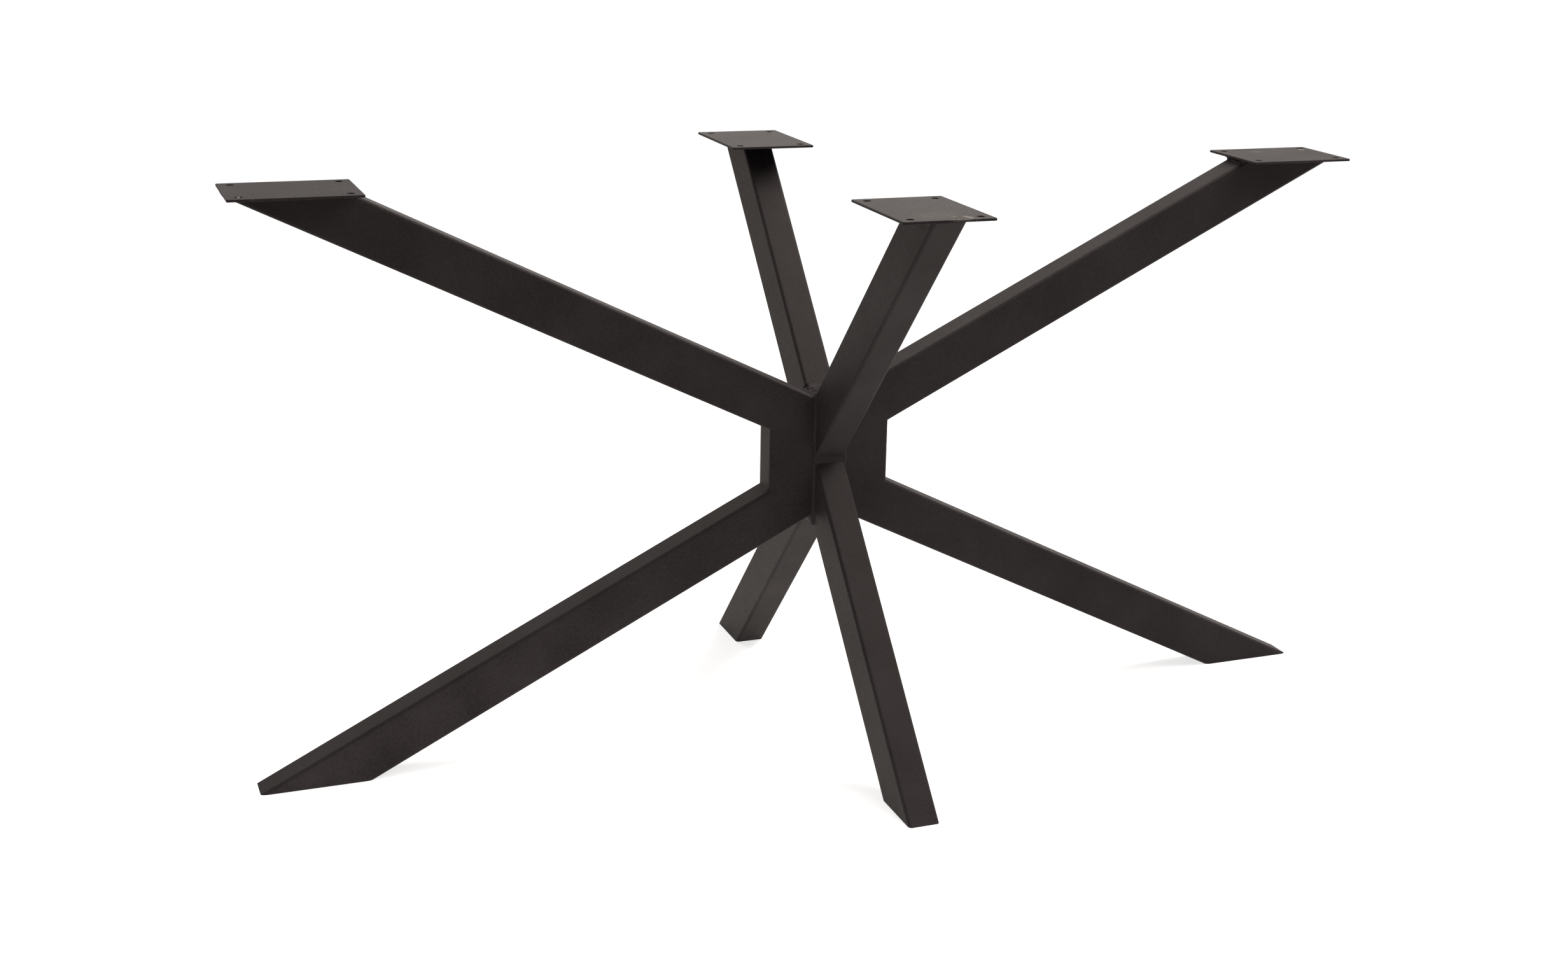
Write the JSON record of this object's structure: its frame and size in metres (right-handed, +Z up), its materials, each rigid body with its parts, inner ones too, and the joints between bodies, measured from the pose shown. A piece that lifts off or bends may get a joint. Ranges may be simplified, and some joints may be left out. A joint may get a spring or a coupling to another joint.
{
  "type": "table base",
  "caption": "Welded steel cross base for a table: sloping rectangular tube arms and legs around a hub post, with drilled seat plates on the arms and level cut feet.",
  "frame": {"origin": "on the floor, under the middle of the hub post", "axes": "+X along the long frame to the right, +Y along the short frame to the back, +Z up"},
  "size_m": [1.44, 0.7, 0.72],
  "materials": {
    "tube_coat": "fine-textured matt black powder coat on steel tube",
    "plate_coat": "fine-textured matt black powder coat on steel plate",
    "weld_coat": "matt black powder coat over weld beads"
  },
  "bodies": {
    "root": {"foot_plate_back": "plate_coat", "foot_plate_front": "plate_coat", "foot_plate_left": "plate_coat", "foot_plate_right": "plate_coat", "hub_cap_bottom": "plate_coat", "hub_cap_top": "plate_coat", "hub_corner_welds": "weld_coat", "hub_post": "tube_coat", "long_arm_left": "tube_coat", "long_arm_right": "tube_coat", "long_leg_left": "tube_coat", "long_leg_right": "tube_coat", "notch_welds": "weld_coat", "plate_welds": "weld_coat", "seat_plate_back": "plate_coat", "seat_plate_front": "plate_coat", "seat_plate_left": "plate_coat", "seat_plate_right": "plate_coat", "short_arm_back": "tube_coat", "short_arm_front": "tube_coat", "short_leg_back": "tube_coat", "short_leg_front": "tube_coat", "spacer_left": "tube_coat", "spacer_right": "tube_coat", "spacer_welds": "weld_coat", "tube_end_welds": "weld_coat"}
  },
  "joints": []
}
